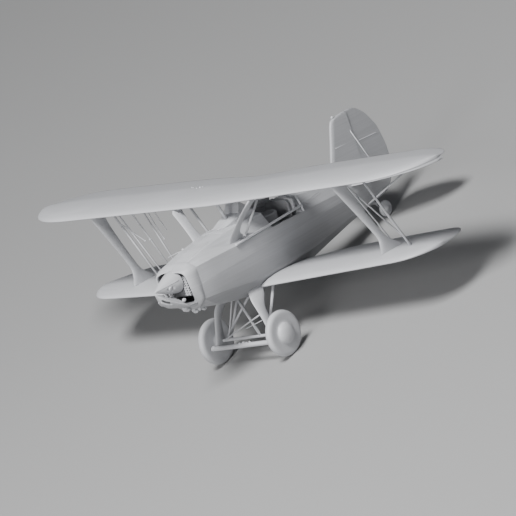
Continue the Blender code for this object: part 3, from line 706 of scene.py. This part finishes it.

# The cockpit.  A hump and a flat windscreen ahead of the well, a bucket seat with
# a split headrest, a raised far side with soft folds, a rail along each sill, and
# small seams and frames, all printed in one with the body.
# Both are darker than the body: painted shade under the upper wing, on the seat, backrest,
# windscreen, folds, knobs and cabane stays.
cockpit_resin = resin("cockpit_resin", 0.40)
screen_shade_resin = resin("windscreen_resin", 0.40, relief=0.05)
dressed("screen_fairing", merged("screen_hump"), "airframe", (body_resin,), ("screen_hump",),
        round_mm=0.6, steps=4)
dressed("windscreen_front", merged("windscreen"), "airframe", (screen_shade_resin,), ("windscreen",),
        round_mm=0.18, steps=3)
dressed("bucket_seat", merged("seat"), "airframe", (cockpit_resin,), ("seat",))
dressed("backrest_shell", merged("seat_back"), "airframe", (cockpit_resin,), ("seat_back",),
        round_mm=0.25, steps=3)
# Lighter than the body: a painted highlight on the sill rails, cockpit frames and fin seams, which
# catch the light.
rail_resin = resin("rail_resin", 0.74, streaks=0.03)
RAIL_ENDS = (Vector((10.7, -7.0, 15.5)), Vector((7.9, 34.8, 15.6)))      # of the left one
RAIL_SWELL = 1.4


def thicker_rail(shape, side):
    """The rail with its points moved away from its middle line."""
    ends = [Vector((side * end.x, end.y, end.z)) for end in RAIL_ENDS]
    for vert in shape.verts:
        spot, _ = intersect_point_line(vert.co, ends[0], ends[1])
        vert.co = spot + RAIL_SWELL * (vert.co - spot)
    return shape


for side, word in ((1, "left"), (-1, "right")):
    dressed("sill_rail_" + word, thicker_rail(merged("cockpit_rail_" + word), side), "airframe",
            (rail_resin,), ("cockpit_rail_" + word,))


def plate(outline, push):
    """A flat plate: its outline, and the way and distance that it is thick."""
    shape = bmesh.new()
    near = [shape.verts.new(point) for point in outline]
    far = [shape.verts.new(Vector(point) + Vector(push)) for point in outline]
    shape.faces.new(near)
    shape.faces.new(list(reversed(far)))
    for i in range(len(near)):
        j = (i + 1) % len(near)
        shape.faces.new((near[j], near[i], far[i], far[j]))
    bmesh.ops.recalc_face_normals(shape, faces=shape.faces)
    return shape


PANE = ((3.95, 6.3, 23.5), (3.6, 8.6, 27.5), (4.2, 13.2, 23.5))
HEADREST = ((1.2, 15.5), (7.1, 15.2), (7.4, 19.4), (3.2, 20.4))         # x and z of one half
HEADREST_Y = 31.4
FAR_SIDE = ((-9.3, 14.7, 14.2), (-7.4, 14.7, 18.8), (-5.7, 14.7, 22.7), (-5.7, 25.0, 22.5),
            (-6.0, 29.5, 21.4), (-6.2, 32.9, 20.7), (-8.3, 32.9, 13.3))
for side, word in ((1, "left"), (-1, "right")):
    pane = [(side * x, y, z) for x, y, z in PANE]
    dressed("windscreen_side_" + word, plate(pane, (-side * 0.5, 0.0, 0.0)), "airframe",
            (screen_shade_resin,), round_mm=0.12)
    rest = [(side * x, HEADREST_Y, z) for x, z in HEADREST]
    dressed("headrest_" + word, plate(rest, (0.0, 1.1, 0.0)), "airframe", (body_resin,),
            round_mm=0.3, steps=3)
dressed("cockpit_far_side", plate(FAR_SIDE, (1.0, 0.0, 0.2)), "airframe", (body_resin,),
        round_mm=0.3, steps=3)

shell_skin = BVHTree.FromBMesh(merged("fuselage"))


def on_skin(start, way):
    """Where a straight line first meets the fuselage."""
    found = shell_skin.ray_cast(Vector(start), Vector(way).normalized())[0]
    return found if found is not None else Vector(start)


def on_deck(x, y):
    return on_skin((x, y, 60.0), (0.0, 0.0, -1.0))


def on_flank(side, y, z):
    return on_skin((side * 40.0, y, z), (-side, 0.0, 0.0))


def line_of(maker, count=9):
    """Points that maker gives for even steps of its share from 0 to 1."""
    return [maker(i / (count - 1.0)) for i in range(count)]


seams = [(line_of(lambda t: on_deck(-5.4 + 10.8 * t, -6.7)), 0.16)]
frames = []
for side in (1, -1):
    seams.append((line_of(lambda t: on_deck(side * (5.5 - 1.3 * t), -26.0 + 12.2 * t)), 0.12))
    for y, z in ((36.4, 15.4), (36.6, 14.6)):
        seams.append((line_of(lambda t: on_flank(side, y + 12.6 * t, z + 0.5 * t)), 0.12))
    frames.append(([(side * 6.3, 34.7, 19.4), (side * 7.75, 34.5, 15.9), (side * 8.3, 34.4, 13.2)],
                   0.38))
    frames.append(([(side * 3.9, 34.6, 20.0), (side * 5.2, 34.3, 15.5)], 0.25))
    frames.append(([(side * x, 14.6, z) for x, z in ((0.2, 20.3), (2.0, 18.3), (4.9, 16.5),
                                                     (7.2, 15.3), (8.6, 14.6))], 0.26))
wires("deck_seams", seams, "airframe", body_resin, sides=8)
wires("cockpit_frames", frames, "airframe", rail_resin, sides=8)
# The folds take the darker cockpit finish: painted shade in their creases.
FOLDS = [([(-6.9, 16.0, 17.6), (-5.7, 19.5, 20.2), (-5.3, 23.5, 21.0), (-5.5, 27.5, 20.2)], 0.30),
         ([(-7.4, 18.5, 16.4), (-6.3, 21.5, 18.6), (-6.0, 26.0, 19.2), (-6.3, 29.8, 18.4)], 0.34),
         ([(-7.8, 21.0, 15.2), (-7.0, 24.0, 16.8), (-6.9, 28.5, 17.0)], 0.30)]
wires("cockpit_padding_folds", FOLDS, "airframe", cockpit_resin, sides=8)


FULL_TURN = 6.28
NUB_SQUASH = ((0.75, 0.75, 0.75), (1.25, 1.1, 1.1))
LUMP_SCALE = 1400.0                   # a metre


def nubs_tree():
    """A lumpy ball on each point of the base mesh, as large as the point says."""
    tree, entry, add = new_tree("print_nubs", (
        ("Seed", "Int"), ("Lump Height", "Float"), ("Finish", "Material")))
    ball = add("GeometryNodeMeshIcoSphere", Radius=1.0, Subdivisions=3)
    size = add("GeometryNodeInputNamedAttribute", {"data_type": "FLOAT"}, Name="size")
    turn = add("FunctionNodeRandomValue", {"data_type": "FLOAT_VECTOR"}, Min=(0.0, 0.0, 0.0),
               Max=(FULL_TURN, FULL_TURN, FULL_TURN), Seed=entry.outputs["Seed"])
    squash = add("FunctionNodeRandomValue", {"data_type": "FLOAT_VECTOR"}, Min=NUB_SQUASH[0],
                 Max=NUB_SQUASH[1], Seed=entry.outputs["Seed"])
    scale = add("ShaderNodeVectorMath", {"operation": "SCALE"}, Vector=squash.outputs[0],
                Scale=size.outputs["Attribute"])
    balls = add("GeometryNodeInstanceOnPoints", Points=entry.outputs["Geometry"],
                Instance=ball.outputs["Mesh"], Rotation=turn.outputs[0], Scale=scale.outputs[0])
    real = add("GeometryNodeRealizeInstances", Geometry=balls.outputs[0])
    noise = add("ShaderNodeTexNoise", {"noise_dimensions": "3D"}, Scale=LUMP_SCALE, Detail=1.0)
    centred = add("ShaderNodeMath", {"operation": "SUBTRACT"})
    tree.links.new(noise.outputs[0], centred.inputs[0])
    centred.inputs[1].default_value = 0.5
    lift = add("ShaderNodeMath", {"operation": "MULTIPLY"})
    tree.links.new(centred.outputs[0], lift.inputs[0])
    tree.links.new(entry.outputs["Lump Height"], lift.inputs[1])
    normal = add("GeometryNodeInputNormal")
    push = add("ShaderNodeVectorMath", {"operation": "SCALE"}, Vector=normal.outputs[0],
               Scale=lift.outputs[0])
    lumpy = add("GeometryNodeSetPosition", Geometry=real.outputs[0], Offset=push.outputs[0])
    return close_tree(tree, entry, add, lumpy.outputs[0])


NUB = nubs_tree()


def nubs(name, rows, body, finish, seed=1, lump=0.25):
    """rows: (place, radius), both in millimetres of the rigging frame."""
    base = points_mesh(name, [place for place, _ in rows],
                       size=[radius * MM for _, radius in rows])
    return grown(name, NUB, base, body, Seed=seed, Lump_Height=lump * MM, Finish=finish)


KNOBS = ((9.2, 0.6, 16.2, 0.62), (9.4, -0.8, 16.4, 0.34), (9.5, -3.0, 16.2, 0.30),
         (9.6, -3.9, 16.0, 0.24))     # place of each left one, radius
nubs("rail_foot_knobs", [((side * x, y, z), radius) for side in (1, -1)
                         for x, y, z, radius in KNOBS],
     "airframe", cockpit_resin, seed=3, lump=0.2)

# The wings.  Thin printed plates, slightly cambered, with round tips.  The upper
# one stands on the struts, and the lower ones grow out of the body.  Their tops
# show faint layers, and a few grains of resin are left there.
# The wings' finish darkens towards their rear edges: painted shade where the surface turns away
# from the light.
wing_resin = resin("wing_resin", 0.52, relief=0.2, streaks=0.09,
                   painted_shade=((0.0, 1.0, 0.0), 14.0, 5.0, 0.18))
scar_resin = resin("support_scar_resin", 0.58, relief=0.3, streaks=0.02)
GRAINS = (                     # x, y, radius
    (-27.0, 17.3, 0.34), (-26.0, 17.0, 0.22), (-21.5, 16.0, 0.5), (-20.6, 16.4, 0.26),
    (-22.6, 15.2, 0.2), (38.0, 12.0, 0.18))
for name, node in (("top_wing", "upper_wing"), ("bottom_wing_left", "lower_wing_left"),
                   ("bottom_wing_right", "lower_wing_right")):
    dressed(name, merged(node), "airframe", (wing_resin,), (node,), subdivide=2, crease=60.0,
            sharp=50.0)
top_skin = BVHTree.FromBMesh(merged("upper_wing"))
grains = []
for x, y, radius in GRAINS:
    spot = top_skin.ray_cast(Vector((x, y, 60.0)), Vector((0.0, 0.0, -1.0)))[0]
    grains.append((spot, radius))
nubs("wing_grains", grains, "airframe", scar_resin, seed=5, lump=0.15)

# The struts.  Streamlined bars printed in one with the wings and the body, swept
# out into broad feet where they meet them.
strut_resin = resin("strut_resin", 0.52, streaks=0.06)
LEG_BEND_Z = -7.6
LEG_SPAN_Y = (-9.0, 3.0)       # front and rear edge
LEG_SWEEP = (0.5, 0.95)        # inward and back, for each millimetre above the bend
WING_STRUTS = (("wing_strut_", "interplane_strut_"), ("centre_strut_", "front_cabane_strut_"))


def swept_leg(shape):
    """The leg's top drawn back and inward, under the body."""
    for vert in shape.verts:
        rise = max(0.0, vert.co.z - LEG_BEND_Z)
        front = (LEG_SPAN_Y[1] - vert.co.y) / (LEG_SPAN_Y[1] - LEG_SPAN_Y[0])
        vert.co.y += LEG_SWEEP[1] * rise * min(1.0, max(0.0, front))
        vert.co.x -= math.copysign(LEG_SWEEP[0] * rise, vert.co.x)
    return shape


for word in ("left", "right"):
    for name, node in WING_STRUTS:
        dressed(name + word, merged(node + word), "airframe", (strut_resin,), (node + word,),
                subdivide=2, crease=45.0, sharp=45.0)
    dressed("wheel_leg_" + word, swept_leg(merged("gear_leg_" + word)), "airframe",
            (strut_resin,), ("gear_leg_" + word,), subdivide=2, crease=60.0, sharp=45.0)

# The stays.  Thin round bars, printed between the wings, under the body and at the
# tail.  Some broke off when the supports were cut away, and their ends hang free.
STAYS = [node for node in sorted(frame["nodes"])
         if "stay" in node or node.startswith(("cross_strut", "rear_gear_strut", "fin_rod",
                                               "tailplane_strut")) or node == "centre_post"]
for node in STAYS:
    # Cabane stays take the darker cockpit finish: painted shade under the upper wing.
    finish = cockpit_resin if node.startswith("cabane") else strut_resin
    dressed(node + "_wire", merged(node), "airframe", (finish,), (node,), sharp=60.0)
BROKEN = (                     # points, radius
    ([(-57.8, 5.0, 26.2), (-53.0, 5.1, 22.2), (-47.8, 5.0, 18.2)], 0.22),
    ([(-42.0, 5.0, 31.2), (-39.9, 5.0, 24.5), (-37.6, 5.1, 17.9)], 0.22),
    ([(-38.8, 5.0, 31.0), (-36.8, 5.0, 26.0), (-34.9, 5.1, 21.4)], 0.20),
    ([(-6.1, -17.4, 19.0), (-10.5, -17.5, 18.2), (-15.5, -17.4, 16.9)], 0.20),
    ([(-13.2, -6.0, -21.4), (0.0, -6.1, -16.4), (12.6, -6.0, -11.9)], 0.30),
    ([(0.1, -6.0, -17.7), (5.0, -6.0, -16.5), (9.7, -6.0, -15.3)], 0.16),
    ([(-2.4, -5.6, -5.6), (-6.4, -5.7, -13.2), (-11.0, -5.6, -21.0)], 0.30),
)
STAY_NUBS = (                  # place, radius
    ((-44.8, 5.0, 18.4), 0.55), ((-47.7, 5.0, 18.1), 0.34), ((-6.4, -17.4, 19.2), 0.6),
    ((-37.6, 5.1, 17.9), 0.3), ((-35.0, 5.1, 21.4), 0.28))
wires("broken_stays", BROKEN, "airframe", strut_resin)
nubs("stay_nubs", STAY_NUBS, "airframe", strut_resin, seed=2, lump=0.15)

# The undercarriage.  Two disc wheels with domed hubs on a straight axle, with a
# thicker bar ahead of it, where the cut supports have left lumps.
wheel_resin = resin("wheel_resin", 0.53, relief=0.12, streaks=0.05)
for node, name in (("axle", "axle_bar"), ("front_gear_bar", "front_spreader_bar")):
    dressed(name, merged(node), "airframe", (strut_resin,), (node,), round_mm=0.2, steps=3)
WHEEL_CENTRE = (17.9, -5.6, -21.3)
WHEEL_PROFILE = (             # along the axle (outboard is +), radius
    (0.9, 0.0), (0.9, 0.65), (-1.9, 0.65), (-1.9, 1.8), (-1.5, 2.3), (-1.38, 3.2), (-1.34, 5.2),
    (-1.36, 6.6), (-1.42, 7.3), (-1.3, 8.0), (-0.85, 8.62), (0.0, 8.85), (0.85, 8.62), (1.3, 8.0),
    (1.42, 7.3), (1.38, 6.4), (1.34, 5.2), (1.36, 4.3), (1.5, 4.1), (2.1, 3.9), (2.7, 3.4),
    (3.2, 2.5), (3.5, 1.3), (3.56, 0.0))


def lathe(profile, centre, side, count=64):
    """Turn (along, radius) pairs about the X axis through a centre; side mirrors it."""
    shape = bmesh.new()
    spokes = [2.0 * math.pi * i / count for i in range(count)]
    rows = []
    for along, radius in profile:
        ring = [(side * along, radius * math.cos(a), radius * math.sin(a)) for a in spokes]
        rows.append([shape.verts.new(Vector(centre) + Vector(place))
                     for place in (ring if radius else ring[:1])])
    for row, after in zip(rows, rows[1:]):
        for i in range(count):
            j = (i + 1) % count
            corners = [row[i % len(row)], row[j % len(row)], after[j % len(after)],
                       after[i % len(after)]]
            shape.faces.new(list(dict.fromkeys(corners)))
    bmesh.ops.recalc_face_normals(shape, faces=shape.faces)
    return shape


for side, word in ((1, "left"), (-1, "right")):
    place = (side * WHEEL_CENTRE[0], WHEEL_CENTRE[1], WHEEL_CENTRE[2])
    dressed("disc_wheel_" + word, lathe(WHEEL_PROFILE, place, side), "wheel_" + word,
            (wheel_resin,), ("wheel_" + word,), sharp=50.0)
BAR_TOP = (-10.6, -21.85)      # y and z of the front bar's upper side
BAR_LUMPS = (                  # x, then y and z from there, radius
    (-1.0, 0.0, 0.0, 0.55), (0.3, 0.2, 0.1, 0.4), (1.4, -0.1, 0.1, 0.6), (2.6, 0.1, 0.0, 0.45),
    (4.4, 0.0, 0.0, 0.5), (-14.6, -0.2, -0.6, 1.05))
nubs("spreader_bar_lumps", [((x, BAR_TOP[0] + back, BAR_TOP[1] + rise), radius)
                            for x, back, rise, radius in BAR_LUMPS],
     "airframe", strut_resin, seed=7, lump=0.3)

# The tail.  A tall round fin and rudder, a tailplane on two thin struts, and a
# small wheel on a bent fork.  All but the wheel are printed in one with the body.
tail_resin = resin("tail_resin", 0.47, relief=0.16, streaks=0.16)
POST_Y = 79.2                 # where fin and rudder meet
FIN_ROWS = (                   # z, front edge y, half thickness
    (10.4, 60.6, 1.0), (20.0, 63.2, 1.0), (28.0, 66.7, 0.97), (34.9, 69.8, 0.92),
    (36.5, 71.6, 0.85), (37.0, 74.5, 0.7), (37.15, 77.5, 0.5))
RUDDER_ROWS = (                # z, rear edge y, half thickness at the post
    (0.9, 82.0, 0.8), (2.4, 88.6, 0.8), (7.3, 92.6, 0.85), (15.4, 94.7, 0.9), (24.9, 93.4, 0.85),
    (29.8, 91.1, 0.8), (33.7, 88.2, 0.7), (36.4, 84.6, 0.6), (37.15, 81.0, 0.5))
BLADE_STEPS = 6
FIN_NOSE = ((0.0, 0.0), (0.5, 0.2), (0.8, 0.7), (1.0, 1.8))   # share of thickness, way back
TRAIL_HALF = 0.16              # half the thickness of the rudder's rear edge


def spun_out(rows, steps):
    """Rows between the given ones, on a smooth curve through them."""
    filled = []
    for i in range(len(rows) - 1):
        before, here = rows[max(i - 1, 0)], rows[i]
        there, beyond = rows[i + 1], rows[min(i + 2, len(rows) - 1)]
        for j in range(steps):
            t = j / steps
            filled.append(tuple(0.5 * (2.0 * b + (c - a) * t
                                       + (2.0 * a - 5.0 * b + 4.0 * c - d) * t * t
                                       + (3.0 * b - a - 3.0 * c + d) * t ** 3)
                                for a, b, c, d in zip(before, here, there, beyond)))
    return filled + [rows[-1]]


def upright_blade(rows, section):
    """A blade whose level sections are mirrored about its middle plane."""
    shape = bmesh.new()
    rings = []
    for row in spun_out(rows, BLADE_STEPS):
        half = section(*row)
        ring = half + [(-x, y, z) for x, y, z in reversed(half) if x > 0.0]
        rings.append([shape.verts.new(point) for point in ring])
    skinned(shape, rings)
    shape.faces.new(rings[0])
    shape.faces.new(list(reversed(rings[-1])))
    bmesh.ops.recalc_face_normals(shape, faces=shape.faces)
    return shape


def fin_section(z, lead, half):
    return [(share * half, lead + way, z) for share, way in FIN_NOSE] + [(half, POST_Y, z)]


def rudder_section(z, trail, half):
    return [(half, POST_Y, z), (TRAIL_HALF, trail, z)]


dressed("fin_blade", upright_blade(FIN_ROWS, fin_section), "airframe", (tail_resin,), ("fin",),
        round_mm=0.15)
dressed("rudder_blade", upright_blade(RUDDER_ROWS, rudder_section), "airframe", (tail_resin,),
        ("rudder",), round_mm=0.1)
for word in ("left", "right"):
    dressed("tailplane_half_" + word, merged("tailplane_" + word), "airframe", (tail_resin,),
            ("tailplane_" + word,), subdivide=2, crease=60.0, sharp=50.0)
dressed("tail_wheel_fork", merged("tail_fork"), "airframe", (strut_resin,), ("tail_fork",),
        sharp=50.0)
dressed("tail_disc_wheel", merged("tail_wheel"), "tail_wheel", (scar_resin,), ("tail_wheel",),
        subdivide=1, crease=80.0, sharp=60.0)
fin_skin = BVHTree.FromBMesh(merged("fin"))
rudder_skin = BVHTree.FromBMesh(merged("rudder"))
SEAM_SINK = 0.05
BLADE_SEAMS = (                # blade, y and z of the front end, length, drop, radius
    (fin_skin, 67.8, 26.2, 10.6, 0.4, 0.18), (rudder_skin, 80.2, 24.6, 11.4, 0.9, 0.18))


def on_blade(skin, side, y, z):
    found = skin.ray_cast(Vector((side * 30.0, y, z)), Vector((-side, 0.0, 0.0)))[0]
    return found - Vector((side * SEAM_SINK, 0.0, 0.0))


seams = []
for side in (1, -1):
    for skin, y, z, length, drop, radius in BLADE_SEAMS:
        line = line_of(lambda t: on_blade(skin, side, y + length * t, z - drop * t))
        seams.append((line, radius))
wires("fin_seams", seams, "airframe", rail_resin, sides=8)
nubs("fin_nub", [((0.0, 72.3, 37.2), 0.5)], "airframe", scar_resin, seed=4, lump=0.1)

# Support remains.  Lumps of resin along the belly behind the chin, where the
# printer's supports stood.
BELLY_LUMPS = (                # place, radius
    ((0.2, -32.6, 0.9), 1.15), ((0.0, -31.4, 0.4), 1.2), ((0.3, -28.6, -0.9), 1.05),
    ((-0.3, -27.1, -1.9), 1.15), ((0.2, -25.4, -1.7), 1.0), ((0.5, -24.0, -2.2), 0.9),
    ((0.0, -22.8, -2.7), 1.0), ((2.2, -27.4, -1.0), 0.8), ((4.5, -35.7, 5.2), 0.85))
nubs("belly_lumps", BELLY_LUMPS, "airframe", scar_resin, seed=11, lump=0.5)
